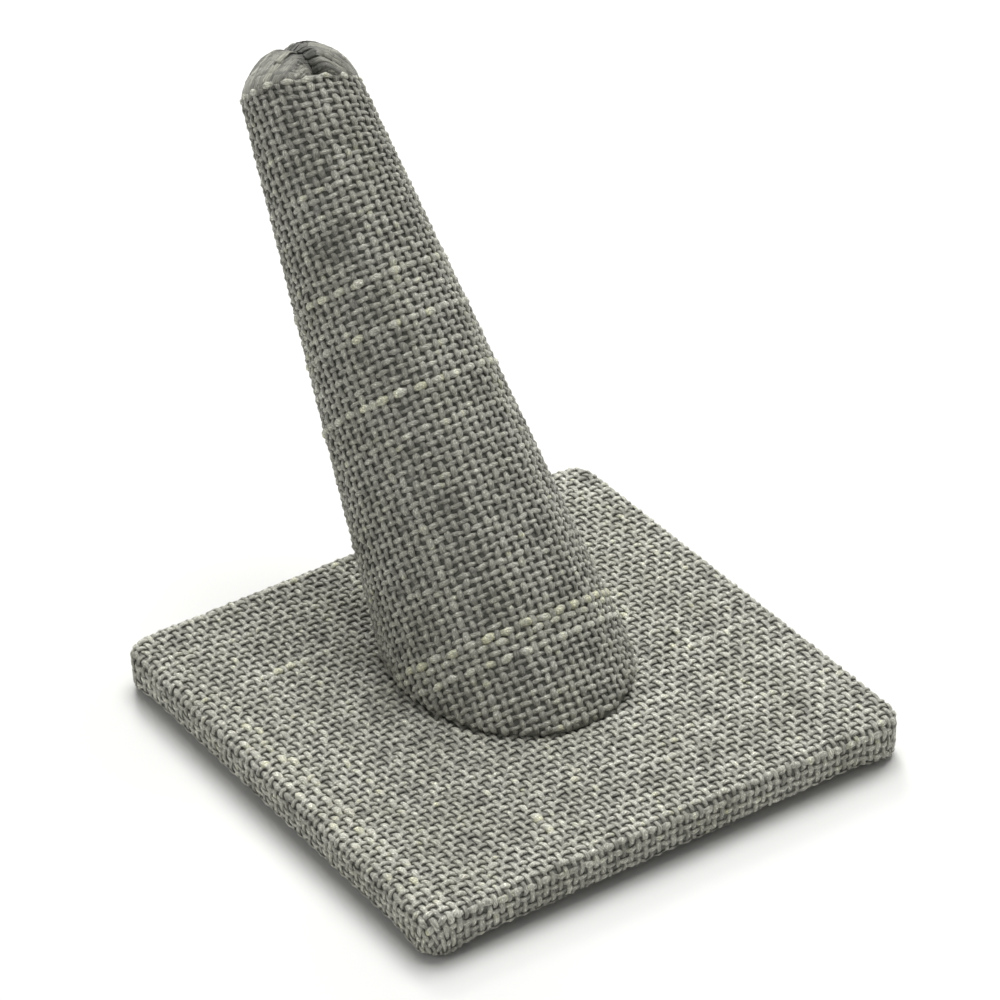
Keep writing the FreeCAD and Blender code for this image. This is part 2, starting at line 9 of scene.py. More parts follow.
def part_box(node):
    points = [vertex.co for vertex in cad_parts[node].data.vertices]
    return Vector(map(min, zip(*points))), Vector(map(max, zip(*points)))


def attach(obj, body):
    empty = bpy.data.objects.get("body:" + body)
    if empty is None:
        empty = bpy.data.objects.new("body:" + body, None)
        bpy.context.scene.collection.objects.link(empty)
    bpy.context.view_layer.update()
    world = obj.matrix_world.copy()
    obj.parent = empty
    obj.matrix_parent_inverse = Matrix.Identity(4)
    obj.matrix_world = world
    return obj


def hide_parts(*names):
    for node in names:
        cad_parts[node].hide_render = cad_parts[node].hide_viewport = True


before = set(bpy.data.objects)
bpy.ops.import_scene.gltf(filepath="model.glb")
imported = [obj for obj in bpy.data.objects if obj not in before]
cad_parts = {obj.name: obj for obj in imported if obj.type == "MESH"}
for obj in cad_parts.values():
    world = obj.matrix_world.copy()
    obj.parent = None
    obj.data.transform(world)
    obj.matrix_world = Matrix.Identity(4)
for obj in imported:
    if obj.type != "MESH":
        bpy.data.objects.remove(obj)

bl_info = {
    "name": "Linen Ring Display Stand",
    "version": (1, 0, 0),
    "blender": (4, 5, 0),
    "location": "View3D > Sidebar > Ring Stand",
    "description": "Weaves the linen of a ring display stand and finishes its hidden pieces",
    "category": "Object",
}

MM = 0.001


def colour(code):
    """Turns an sRGB code such as c8c2b0 into linear red, green, blue and alpha."""
    parts = [int(code[i:i + 2], 16) / 255 for i in (0, 2, 4)]
    return [p / 12.92 if p <= 0.04045 else ((p + 0.055) / 1.055) ** 2.4 for p in parts] + [1.0]


class RingStandSettings(bpy.types.PropertyGroup):
    """Sizes in metres and colours of the pieces that are made here"""
    base_half: bpy.props.FloatProperty(
        name="Base half width", description="From the base's middle to the outside of its linen",
        default=0.028575, unit="LENGTH")
    base_top: bpy.props.FloatProperty(
        name="Base top", description="Height of the linen on top of the base",
        default=0.0052, unit="LENGTH")
    hem_level: bpy.props.FloatProperty(
        name="Hem level", description="Height of the underside of the hem",
        default=0.0008, unit="LENGTH")
    cloth_thickness: bpy.props.FloatProperty(
        name="Cloth thickness", description="Over the crowns of both sets of yarns",
        default=0.00065, unit="LENGTH")
    cross_pitch: bpy.props.FloatProperty(
        name="Cross pitch", description="Between neighbouring yarns that run from front to back",
        default=0.000826, unit="LENGTH")
    long_pitch: bpy.props.FloatProperty(
        name="Long pitch", description="Between neighbouring yarns that run from side to side",
        default=0.00105, unit="LENGTH")
    finger_weft_pitch: bpy.props.FloatProperty(
        name="Finger weft pitch", description="Between neighbouring yarns round the finger",
        default=0.000828, unit="LENGTH")
    finger_warp_pitch: bpy.props.FloatProperty(
        name="Finger warp pitch", description="Between neighbouring yarns along the finger",
        default=0.001, unit="LENGTH")
    yarn_radius: bpy.props.FloatProperty(
        name="Yarn radius", description="Half the width of a usual yarn",
        default=0.00028, unit="LENGTH")
    hem_width: bpy.props.FloatProperty(
        name="Hem width", description="Linen turned under each edge", default=0.009, unit="LENGTH")
    yarn_colour: bpy.props.FloatVectorProperty(
        name="Yarn colour", description="Usual colour of the undyed flax", subtype="COLOR",
        size=3, default=colour("afafa9")[:3])
    ground_colour: bpy.props.FloatVectorProperty(
        name="Ground colour", description="Colour deep between the yarns", subtype="COLOR",
        size=3, default=colour("76766f")[:3])


def per_metre(size):
    """Scale of a pattern in Object coordinates whose grain is that many millimetres wide."""
    return 1 / (size * MM)


def node(tree, kind, settings=None, inputs=None, links=None, stops=()):
    """Adds one node with its settings, its input values, its links and, for a ramp, its stops."""
    made = tree.nodes.new(kind)
    for name, value in (settings or {}).items():
        setattr(made, name, value)
    for name, value in (inputs or {}).items():
        made.inputs[name].default_value = value
    for name, source in (links or {}).items():
        tree.links.new(source, made.inputs[name])
    for _ in stops[2:]:
        made.color_ramp.elements.new(0.5)
    for i, (position, tint) in enumerate(stops):
        made.color_ramp.elements[i].position = position
        made.color_ramp.elements[i].color = tint
    return made


def material(name):
    """Starts a material with one principled shader and returns it with its tree and shader."""
    made = bpy.data.materials.new(name)
    made.use_nodes = True
    return made, made.node_tree, made.node_tree.nodes["Principled BSDF"]


# Smooth random waves

class Waves:
    """A smooth random value along a line, between about -1 and 1."""

    def __init__(self, seed, longest, count=6):
        picker = np.random.default_rng(seed)
        self.rates = 2 * math.pi / longest * picker.uniform(0.8, 4.0, count)
        self.phases = picker.uniform(0, 2 * math.pi, count)
        self.sizes = picker.uniform(0.4, 1.0, count)
        self.sizes /= self.sizes.sum()

    def __call__(self, at):
        at = np.asarray(at, dtype=float)[..., None]
        return (np.sin(at * self.rates + self.phases) * self.sizes).sum(-1) * 1.8


def bump(at, middle, reach):
    """A rounded hump, 1 in the middle and fading over the reach to either side."""
    return np.exp(-((np.asarray(at) - middle) / reach) ** 2)


def step(at, low, high):
    """Smooth step from 0 at low to 1 at high."""
    t = np.clip((np.asarray(at, dtype=float) - low) / (high - low), 0, 1)
    return t * t * (3 - 2 * t)


# Forms that the cloth follows, all in millimetres

# the base's linen: bend over the upper edges, rounding of the corners in plan, bend at the lower edges
EDGE = 0.85
CORNER = 2.675
LOW_EDGE = 0.6
# the folds under a corner push its sides down by this much, fading away from the corner
FOLD_FALL = 0.68
FOLD_NEAR, FOLD_FAR = 1.5, 6.5
# share of the weave's height that is lost where the cloth is stretched over an edge
STRETCH = 0.35
# the rows slant by this much towards the front, from nothing to all of it between two places
SKEW = 0.055
SKEW_START, SKEW_END = 4, 26


class BaseForm:
    """Carries flat cloth over the base: top, edges, sides and the hem underneath."""

    def __init__(self, values):
        middle = values.cloth_thickness / MM / 2
        self.half = values.base_half / MM - middle
        self.top = values.base_top / MM - middle
        self.low = values.hem_level / MM + middle
        self.core = self.half - CORNER
        self.flat = CORNER - EDGE
        self.side = self.top - self.low - EDGE - LOW_EDGE
        self.bends = np.cumsum([EDGE * math.pi / 2, self.side, LOW_EDGE * math.pi / 2])

    def mitred(self, u, v):
        """Tells which points of the flat cloth are cut off where two hems meet at a corner."""
        a, b = np.abs(u) - self.core, np.abs(v) - self.core
        far = np.hypot(np.maximum(a, 0), np.maximum(b, 0))
        own_edge = far - self.flat - self.bends[2] + LOW_EDGE
        return own_edge > CORNER - np.minimum(np.minimum(a, b), 0)

    def reach(self, hem):
        """How far the cloth goes from the middle when its hem is that wide."""
        return self.core + self.flat + self.bends[2] + hem - LOW_EDGE

    def __call__(self, u, v, w):
        """Place of the cloth's point u, v, at height w over its middle layer."""
        inside = np.stack([np.clip(u, -self.core, self.core), np.clip(v, -self.core, self.core)], -1)
        off = np.stack([u, v], -1) - inside
        far = np.maximum(np.linalg.norm(off, axis=-1), 1e-9)
        way = off / far[..., None]
        past = far - self.flat
        one, two, three = self.bends
        turn_a = np.clip(past, 0, one) / EDGE
        turn_b = np.clip(past - two, 0, three - two) / LOW_EDGE
        turn = turn_a + turn_b
        out = np.minimum(far, self.flat) + EDGE * np.sin(turn_a) - LOW_EDGE * (1 - np.cos(turn_b))
        out = out - np.maximum(past - three, 0)
        fall = EDGE * (1 - np.cos(turn_a)) + np.clip(past - one, 0, self.side)
        fall = fall + LOW_EDGE * np.sin(turn_b)
        flat = inside + way * out[..., None]
        away = np.hypot(self.half - np.abs(flat[..., 0]), self.half - np.abs(flat[..., 1]))
        fall = fall + FOLD_FALL * (1 - step(away, FOLD_NEAR, FOLD_FAR)) * step(past, 0.5 * one, two)
        w = w * (1 - STRETCH * step(past, 0.3 * one, two))
        out = out + w * np.sin(turn)
        spot = inside + way * out[..., None]
        return np.stack([spot[..., 0], spot[..., 1], self.top - fall + w * np.cos(turn)], -1)


# the finger: its axis where it meets the base's top, its lean, and its own three directions
FOOT = np.array([1.93, 3.79, 5.2])
LEAN = math.radians(34.46)
AXIS = np.array([0.0, math.sin(LEAN), math.cos(LEAN)])
RIGHT = np.array([1.0, 0.0, 0.0])
FRONT = np.array([0.0, -math.cos(LEAN), math.sin(LEAN)])
# radius over the linen at the foot, and the angle between axis and side
OUTER_FOOT = 12.243
TAPER = math.radians(5.8)
# where it meets the base, the cloth turns in by this share of a bend of this radius
FOOT_BEND = 0.9
FOOT_TURN_IN = 0.6
# turns about the axis, counted from RIGHT towards FRONT: the cloth's middle yarn, and the pit
GRAIN = math.radians(96)
PIT_SIDE = math.radians(91)
# falls from the axis: the pit, and the far end of the furrow that runs from it over the top
PIT_FALL = math.radians(55)
FURROW_END = math.radians(-7)
# the last row of the weave, along the axis, and how the gathers have pulled the rows up on one side
LAST_WEFT = 60.7
PULL_SIDE = math.radians(100)
PULL = 1.3
PULL_START, PULL_END = 46, 60.5
# the gathered dome: its middle, its radius and how much further its top stands out
DOME_MIDDLE = FOOT + 57.5 * AXIS
DOME_RADIUS = 6.4
DOME_RISE = 0.98
DOME_ROUNDNESS = 0.8
# depth and half width of the furrow, and what the pit adds to both
FURROW_DEPTH, FURROW_REACH = 0.5, 0.7
PIT_DEPTH, PIT_REACH = 1.1, 0.5
# the cloth swells beside the furrow's right side, and small pleats run into it from all sides
SWELL = 0.22
PLEAT_DEPTH = 0.14


class FingerForm:
    """Carries flat cloth round the finger, as the cone's surface unrolls, and over its gathered tip."""

    def __init__(self, values):
        self.middle = values.cloth_thickness / MM / 2
        self.peak = (OUTER_FOOT - self.middle / math.cos(TAPER)) / math.tan(TAPER)

    def rolled(self, u, v):
        """Turn from the grain line and distance along the axis of the flat place u, v."""
        swing = np.arctan2(u, -v)
        return swing / math.sin(TAPER), self.peak - np.hypot(u, v) * math.cos(TAPER)

    def __call__(self, u, v, w):
        """Place of the cloth's point u, v, at height w over its middle layer."""
        turn, along = self.rolled(u, v)
        return self.cone(turn + GRAIN, along + self.pull(turn + GRAIN, along), w)

    def pull(self, turn, along):
        """How far the gathers have pulled the cloth up its one side and down its other."""
        return PULL * np.sin(turn - PULL_SIDE) * step(along, PULL_START, PULL_END)

    def cone(self, turn, along, w):
        """Point on the cone at that turn about the axis and that distance along it."""
        radius = (self.peak - along) * math.tan(TAPER)
        out = np.cos(turn)[..., None] * RIGHT + np.sin(turn)[..., None] * FRONT
        spot = FOOT + np.asarray(along)[..., None] * AXIS + radius[..., None] * out
        height = spot[..., 2] - FOOT[2]
        bent = np.clip(FOOT_BEND - height, 0, FOOT_BEND)
        tuck = FOOT_BEND - np.sqrt(np.maximum(FOOT_BEND ** 2 - bent ** 2, 0))
        w = w - FOOT_TURN_IN * tuck
        return spot + w[..., None] * (math.cos(TAPER) * out + math.sin(TAPER) * AXIS)

    def dome_radius(self, fall):
        """Distance of the tip's cloth from the middle of its dome, at that fall from the axis."""
        rise = np.cos(np.clip(fall, 0, math.pi / 2)) ** DOME_ROUNDNESS
        return DOME_RADIUS + DOME_RISE * rise - self.middle

    def rim(self, turn):
        """Distance along the axis at which the weave ends and the gathers start."""
        swing = ((turn - GRAIN + math.pi) % (2 * math.pi) - math.pi) * math.sin(TAPER)
        along = self.peak - (self.peak - LAST_WEFT - 0.15) / np.cos(swing)
        return along + self.pull(turn, along)

    def tip(self, turn, part, w):
        """Point on the gathered tip: part 0 is the rim, part 1 the furrow that all is drawn into."""
        start = self.cone(turn, self.rim(turn), 0 * turn) - DOME_MIDDLE
        size = np.linalg.norm(start, axis=-1)
        one = start / size[..., None]
        back = (1 - np.cos(turn - PIT_SIDE)) / 2
        goal = FURROW_END + (PIT_FALL - FURROW_END) * (1 - back) ** 3
        ahead = math.cos(PIT_SIDE) * RIGHT + math.sin(PIT_SIDE) * FRONT
        two = np.sin(goal)[..., None] * ahead + np.cos(goal)[..., None] * AXIS
        angle = np.arccos(np.clip((one * two).sum(-1), -1, 1))
        sine = np.maximum(np.sin(angle), 1e-6)
        way = np.sin((1 - part) * angle)[..., None] * one + np.sin(part * angle)[..., None] * two
        way = way / sine[..., None]
        far = self.dome_radius(np.arccos(np.clip(way @ AXIS, -1, 1)))
        start_far = self.dome_radius(np.arccos(np.clip(one @ AXIS, -1, 1)))
        far = far + (1 - step(part, 0, 0.5)) * (size - start_far)
        # millimetres left to the furrow, on a dome of about 7 mm radius
        left = (1 - part) * angle * 7
        near_pit = bump(goal, PIT_FALL, math.radians(12))
        depth = (FURROW_DEPTH + PIT_DEPTH * near_pit) * (1 - 0.4 * step(back, 0.5, 1))
        far = far - depth * bump(left, 0, FURROW_REACH + PIT_REACH * near_pit)
        right_side = step(np.cos(turn - PIT_SIDE + math.pi / 2), 0.0, 0.5)
        far = far + SWELL * right_side * bump(left, 1.5, 0.8) * (1 - back)
        # two sets of pleats of uneven width
        pleats = np.sin(17 * turn + 1.2 * np.sin(3 * turn)) + 0.5 * np.sin(31 * turn + 2.0)
        far = far + PLEAT_DEPTH * pleats * step(left, 0.2, 1.2) * (1 - step(left, 2.5, 5.5))
        return DOME_MIDDLE + (far + w)[..., None] * way


# Yarns

# how far a yarn strays sideways, as shares of the pitch: in long swings and in shorter ones
STRAY, QUIVER = 0.13, 0.07
# lengths in millimetres over which a yarn strays and grows thicker
STRAY_LENGTH, WIDTH_LENGTH = 14.0, 9.0
# a yarn is spread flat on its crowns and squeezed between them
SQUEEZED, SPREAD = 0.74, 0.4
# how much paler and how much prouder a slub is for its thickness
SLUB_SHADE, SLUB_LIFT = 3.2, 1.2


class Yarns:
    """Collects lines of yarn on the flat cloth, each point with its half width and its shade."""

    def __init__(self, name):
        self.data = bpy.data.curves.new(name, "CURVE")
        self.data.dimensions = "3D"
        # each point's radius is then the yarn's half width, and its outline has six sides
        self.data.bevel_depth = 1.0
        self.data.bevel_resolution = 1
        self.data.twist_mode = "Z_UP"
        self.shades = []
        self.name = name

    def add(self, points, radii, shade):
        """Adds one yarn along the points."""
        count = len(points)
        if count < 3:
            return
        line = self.data.splines.new("POLY")
        line.points.add(count - 1)
        flat = np.concatenate([points, np.ones((count, 1))], 1)
        line.points.foreach_set("co", flat.ravel())
        line.points.foreach_set("radius", np.asarray(radii, dtype=float))
        self.shades.append(shade + np.zeros(count))

    def finish(self, form, flatten):
        """Turns the lines into tubes, lays them over the form and returns the piece."""
        curve = bpy.data.objects.new(self.name + "_lines", self.data)
        bpy.context.scene.collection.objects.link(curve)
        bpy.context.view_layer.update()
        mesh = bpy.data.meshes.new_from_object(curve)
        bpy.data.objects.remove(curve)
        count = len(mesh.vertices)
        flat = np.empty(count * 3)
        mesh.vertices.foreach_get("co", flat)
        flat = flat.reshape(-1, 3)
        tone = np.concatenate(self.shades)
        tone = np.repeat(tone, count // len(tone))
        spots = form(flat[:, 0], flat[:, 1], flat[:, 2] * flatten)
        mesh.vertices.foreach_set("co", (spots * MM).ravel())
        place = mesh.attributes.new("cloth_place", "FLOAT_VECTOR", "POINT")
        place.data.foreach_set("vector", flat.ravel())
        shade = mesh.attributes.new("yarn_shade", "FLOAT", "POINT")
        shade.data.foreach_set("value", tone)
        mesh.name = self.name
        mesh.shade_smooth()
        mesh.update()
        piece = bpy.data.objects.new(self.name, mesh)
        bpy.context.scene.collection.objects.link(piece)
        close_ends(piece)
        return piece


def close_ends(piece):
    """Closes the ends of the tubes and turns every face outward."""
    shape = bmesh.new()
    shape.from_mesh(piece.data)
    ends = [edge for edge in shape.edges if edge.is_boundary]
    bmesh.ops.holes_fill(shape, edges=ends, sides=8)
    bmesh.ops.recalc_face_normals(shape, faces=shape.faces)
    shape.to_mesh(piece.data)
    shape.free()


def weave(yarns, lines, along_axis, pitches, wave, radius, seed, keep, fine, slub):
    """Lays one set of yarns over the whole cloth, over and under the yarns that cross them.

    A line has its number, its place and its two ends. Pitches are the set's own and that of the yarns
    that cross it. Wave is how far a yarn rises and falls. Keep tells which points stay, fine which
    crossings get three points, and slub how much thicker a yarn is.
    """
    own, other = pitches
    picker = np.random.default_rng(seed)
    for number, at, low, high in lines:
        first, last = math.ceil(low / other), math.floor(high / other)
        marks = []
        for mark in range(first, last + 1):
            offsets = (-1 / 3, 0, 1 / 3) if fine(mark * other) else (-0.25, 0.25)
            marks.extend(mark + offset for offset in offsets)
        marks = np.array(marks)
        if len(marks) < 3:
            continue
        far = marks * other
        sway = Waves(seed * 1000 + number, STRAY_LENGTH)
        width = Waves(seed * 1000 + 500 + number, WIDTH_LENGTH)
        side = at + own * (STRAY * sway(far) + QUIVER * sway(far * 3.1 + 7))
        shade = picker.uniform(-1, 1)
        thick = slub(number, far)
        half = radius * (1 + 0.13 * shade * picker.uniform(0.2, 1) + 0.15 * width(far) + thick)
        tone = shade + 0.6 * width(far * 0.7 + 11) + SLUB_SHADE * thick
        tone = tone + picker.normal(0, 0.95, len(far))
        swell = SQUEEZED + SPREAD * np.abs(np.cos(math.pi * marks))
        half = half * swell * (1 + 0.07 * picker.normal(0, 1, len(far)))
        parity = 1 if number % 2 else -1
        height = wave * (1 + 0.12 * picker.normal(0, 1, len(far)))
        height = height + SLUB_LIFT * radius * np.sign(wave) * thick
        lift = height * parity * np.cos(math.pi * marks)
        points = np.stack([far, side, lift] if along_axis == 0 else [side, far, lift], 1)
        wanted = keep(points[:, 0], points[:, 1])
        start = None
        for i in range(len(points) + 1):
            on = i < len(points) and wanted[i]
            if on and start is None:
                start = i
            if not on and start is not None:
                yarns.add(points[start:i], half[start:i], tone[start:i])
                start = None


def slant(v):
    """How much the cloth's rows slant on the base, at that distance from its middle."""
    return SKEW * step(-v, SKEW_START, SKEW_END)


def skewed(form):
    """The base's form with the slight skew that the cloth has towards the front."""
    return lambda u, v, w: form(u, v - slant(v) * u, w)


def base_keep(form, reach):
    """Tells which points of a yarn on the base are kept: none past the mitre of a corner."""
    def keep(u, v):
        v = v - slant(v) * u
        return (np.maximum(np.abs(u), np.abs(v)) < reach) & ~form.mitred(u, v)
    return keep


# How much thicker the slubbed yarns are, by the yarn's number: those near the base's left edge, and
# those round the finger, which are counted from the gathers down.
EDGE_SLUBS = {-33: 0.46, -31: 0.42, -30: 0.46, -28: 0.26, -25: 0.24, -20: 0.18}
ROUND_SLUBS = {
    0: 0.22, -25: 0.66, -28: 0.2, -31: 0.66, -35: 0.3, -39: 0.68, -44: 0.25, -62: 0.3, -70: 0.72,
    -71: 0.3, -73: 0.7,
}


def base_slubs_cross(number, far):
    """Thicker stretches of the yarns that run from front to back."""
    by_edge = EDGE_SLUBS.get(number, 0.0)
    thick = by_edge * bump(far, -8, 26) * (0.8 + 0.35 * Waves(number + 90, 9.0)(far))
    if number == -13:
        thick = thick + 0.95 * bump(far, -22.4, 2.8)
    if number == 22:
        thick = thick + 0.4 * bump(far, -3.3, 1.0)
    return thick


def base_slubs_long(number, far):
    """Thicker stretches of the yarns that run from side to side."""
    thick = 0 * far
    if number == -6:
        thick = thick + 0.42 * bump(far, 19.5, 5.0)
    if number == 14:
        thick = thick + 0.45 * bump(far, -17, 3.4)
    if number in (-19, -24):
        thick = thick + 0.34 * bump(far, 4 + 5 * (number + 19), 5.0)
    return thick


def finger_slubs_round(number, far):
    """Thicker yarns round the finger."""
    thick = ROUND_SLUBS.get(number, 0.0)
    return thick * (0.8 + 0.25 * Waves(number % 97, 8.0)(far)) + 0 * far


def finger_slubs_long(number, far):
    """The one yarn along the finger that is thicker, over the finger's lower third."""
    if number == 7:
        return 0.22 * step(-far, 40, 46) * (0.8 + 0.5 * Waves(41, 7.0)(far))
    return 0 * far


# Finishes

def linen_material(name, values, scale, pale_by=1.0, twist=16):
    """Undyed flax yarn: matt, grey-green, with pale glossy fibres along each yarn.

    Scale is the size of the fibres in millimetres of flat cloth, and twist their angle to the yarn.
    """
    made, tree, shader = material(name)
    place = node(tree, "ShaderNodeAttribute", {"attribute_name": "cloth_place"}).outputs["Vector"]
    shade = node(tree, "ShaderNodeAttribute", {"attribute_name": "yarn_shade"}).outputs["Fac"]
    along = node(tree, "ShaderNodeMapping", {"vector_type": "TEXTURE"},
                 {"Rotation": (0.0, 0.0, math.radians(twist)), "Scale": scale}, {"Vector": place})
    # fibres that lie along the yarn, 0.15 mm wide where real ones are 0.02, to show at all
    fibres = node(tree, "ShaderNodeTexNoise", inputs={"Scale": 1.0, "Detail": 3.0, "Roughness": 0.65},
                  links={"Vector": along.outputs[0]}).outputs["Fac"]
    # flax is darker and paler in patches some 5 mm wide; the flat cloth is counted in millimetres
    patches = node(tree, "ShaderNodeTexNoise",
                   inputs={"Scale": 1 / 4.6, "Detail": 3.0, "Roughness": 0.6},
                   links={"Vector": place}).outputs["Fac"]
    base = [c * pale_by for c in values.yarn_colour]
    dark = [c * 0.6 for c in base] + [1.0]
    # painted highlight: the palest fibres, at twice the yarn's colour, stand in for glints on the yarns
    # as well as the flax's own paler fibres
    pale = [min(1.0, c * 2.1) for c in base] + [1.0]
    fibre_and_glint_tint = node(tree, "ShaderNodeValToRGB", links={"Fac": fibres},
                      stops=[(0.3, dark), (0.52, base + [1.0]), (0.72, pale)]).outputs["Color"]
    patch_tint = node(tree, "ShaderNodeValToRGB", links={"Fac": patches},
                      stops=[(0.3, colour("dddcd2")), (0.7, colour("fbfaf4"))]).outputs["Color"]
    mixed = node(tree, "ShaderNodeMix", {"data_type": "RGBA", "blend_type": "MULTIPLY"},
                 {0: 1.0}, {6: fibre_and_glint_tint, 7: patch_tint}).outputs[2]
    # the yarn's tone sets its brightness; the low end of this range takes in the painted shade of the
    # gathered yarns' ends deep in the furrow
    level = node(tree, "ShaderNodeMapRange",
                 inputs={"From Min": -4.5, "From Max": 3.5, "To Min": 0.35, "To Max": 1.65},
                 links={"Value": shade}).outputs["Result"]
    # painted shade and highlight: the colour is darkened deep between the yarns and lightened on their
    # crowns, by each point's height in the weave
    height = node(tree, "ShaderNodeSeparateXYZ", links={"Vector": place}).outputs["Z"]
    painted_shade_and_highlight = node(tree, "ShaderNodeMapRange",
                 inputs={"From Min": -0.08, "From Max": 0.6, "To Min": 0.6, "To Max": 1.26},
                 links={"Value": height}).outputs["Result"]
    level = node(tree, "ShaderNodeMath", {"operation": "MULTIPLY"},
                 links={0: level, 1: painted_shade_and_highlight}).outputs[0]
    # thick soft stretches of yarn keep more of the flax's own cream
    cream = node(tree, "ShaderNodeMapRange", inputs={"From Min": 1.4, "From Max": 3.6},
                 links={"Value": shade}).outputs["Result"]
    mixed = node(tree, "ShaderNodeMix", {"data_type": "RGBA", "blend_type": "MULTIPLY"},
                 {7: colour("f5f6e2")}, {0: cream, 6: mixed}).outputs[2]
    toned = node(tree, "ShaderNodeVectorMath", {"operation": "SCALE"},
                 links={0: mixed, "Scale": level}).outputs[0]
    tree.links.new(toned, shader.inputs["Base Color"])
    # pale fibres are the smooth, glossy ones
    shine = node(tree, "ShaderNodeMapRange",
                 inputs={"From Min": 0.35, "From Max": 0.7, "To Min": 0.7, "To Max": 0.33},
                 links={"Value": fibres}).outputs["Result"]
    tree.links.new(shine, shader.inputs["Roughness"])
    relief = node(tree, "ShaderNodeBump", inputs={"Strength": 0.8, "Distance": 0.00015},
                  links={"Height": fibres})
    tree.links.new(relief.outputs["Normal"], shader.inputs["Normal"])
    shader.inputs["Sheen Weight"].default_value = 0.15
    shader.inputs["Sheen Roughness"].default_value = 0.5
    return made


def ground_material(values):
    """Deep between the yarns: the shaded side of the linen with the glue behind it."""
    made, tree, shader = material("linen_ground")
    place = node(tree, "ShaderNodeTexCoord").outputs["Object"]
    # tufts of short fibres 0.6 mm wide
    patches = node(tree, "ShaderNodeTexNoise", inputs={"Scale": per_metre(0.6), "Detail": 2.0},
                   links={"Vector": place}).outputs["Fac"]
    base = list(values.ground_colour)
    dark, pale = [c * 0.7 for c in base] + [1.0], [c * 1.3 for c in base] + [1.0]
    tint = node(tree, "ShaderNodeValToRGB", links={"Fac": patches},
                stops=[(0.3, dark), (0.7, pale)]).outputs["Color"]
    tree.links.new(tint, shader.inputs["Base Color"])
    shader.inputs["Roughness"].default_value = 0.95
    return made


def felt_material():
    """Charcoal felt: matted short fibres with a soft sheen."""
    made, tree, shader = material("charcoal_felt")
    place = node(tree, "ShaderNodeTexCoord").outputs["Object"]
    # matted tufts 0.4 mm wide, where single fibres are 0.03, to show at all
    fibres = node(tree, "ShaderNodeTexNoise",
                  inputs={"Scale": per_metre(0.4), "Detail": 4.0, "Roughness": 0.7},
                  links={"Vector": place}).outputs["Fac"]
    tint = node(tree, "ShaderNodeValToRGB", links={"Fac": fibres},
                stops=[(0.3, colour("2a2a2b")), (0.7, colour("474748"))]).outputs["Color"]
    tree.links.new(tint, shader.inputs["Base Color"])
    relief = node(tree, "ShaderNodeBump", inputs={"Strength": 0.6, "Distance": 0.0001},
                  links={"Height": fibres})
    tree.links.new(relief.outputs["Normal"], shader.inputs["Normal"])
    shader.inputs["Roughness"].default_value = 0.95
    shader.inputs["Sheen Weight"].default_value = 0.4
    return made


def wood_material():
    """Turned beech: warm and pale, with a straight grain."""
    made, tree, shader = material("turned_beech")
    place = node(tree, "ShaderNodeTexCoord").outputs["Object"]
    stretched = node(tree, "ShaderNodeMapping",
                     inputs={"Rotation": (LEAN, 0.0, 0.0), "Scale": (1.0, 1.0, 0.12)},
                     links={"Vector": place}).outputs["Vector"]
    # beech grain 1.1 mm wide, drawn out upwards
    grain = node(tree, "ShaderNodeTexNoise",
                 inputs={"Scale": per_metre(1.1), "Detail": 4.0, "Roughness": 0.6},
                 links={"Vector": stretched}).outputs["Fac"]
    stops = [(0.3, colour("b98f5f")), (0.55, colour("d3b082")), (0.8, colour("e2c79f"))]
    tint = node(tree, "ShaderNodeValToRGB", links={"Fac": grain}, stops=stops).outputs["Color"]
    tree.links.new(tint, shader.inputs["Base Color"])
    shader.inputs["Roughness"].default_value = 0.6
    return made


def board_material():
    """Fibreboard: even brown with fine pale fibres."""
    made, tree, shader = material("fibreboard")
    place = node(tree, "ShaderNodeTexCoord").outputs["Object"]
    # bundles of fibres 0.55 mm wide, where single ones are 0.05, to show at all
    fibres = node(tree, "ShaderNodeTexNoise",
                  inputs={"Scale": per_metre(0.55), "Detail": 5.0, "Roughness": 0.7},
                  links={"Vector": place}).outputs["Fac"]
    tint = node(tree, "ShaderNodeValToRGB", links={"Fac": fibres},
                stops=[(0.3, colour("8a6a48")), (0.7, colour("b79a72"))]).outputs["Color"]
    tree.links.new(tint, shader.inputs["Base Color"])
    shader.inputs["Roughness"].default_value = 0.85
    return made


def steel_material():
    """Zinc plated steel: a satin metal with a slight yellow cast."""
    made, tree, shader = material("zinc_plated_steel")
    place = node(tree, "ShaderNodeTexCoord").outputs["Object"]
    # plating dulls in clouds 1.4 mm wide
    cloud = node(tree, "ShaderNodeTexNoise", inputs={"Scale": per_metre(1.4), "Detail": 3.0},
                 links={"Vector": place}).outputs["Fac"]
    rough = node(tree, "ShaderNodeMapRange", inputs={"To Min": 0.25, "To Max": 0.45},
                 links={"Value": cloud}).outputs["Result"]
    tree.links.new(rough, shader.inputs["Roughness"])
    shader.inputs["Base Color"].default_value = colour("d8d4c4")
    shader.inputs["Metallic"].default_value = 1.0
    return made


def thread_material():
    """Polyester sewing thread: off-white with a soft shine."""
    made, tree, shader = material("sewing_thread")
    place = node(tree, "ShaderNodeTexCoord").outputs["Object"]
    # the thread's plies, 0.2 mm wide
    plies = node(tree, "ShaderNodeTexNoise", inputs={"Scale": per_metre(0.2), "Detail": 2.0},
                 links={"Vector": place}).outputs["Fac"]
    tint = node(tree, "ShaderNodeValToRGB", links={"Fac": plies},
                stops=[(0.3, colour("b8b2a2")), (0.7, colour("e4dfd0"))]).outputs["Color"]
    tree.links.new(tint, shader.inputs["Base Color"])
    shader.inputs["Roughness"].default_value = 0.5
    return made


def dress(piece, finish):
    """Gives the piece its one finish."""
    slots = piece.data.materials
    if not slots:
        slots.append(finish)
    for i in range(len(slots)):
        slots[i] = finish


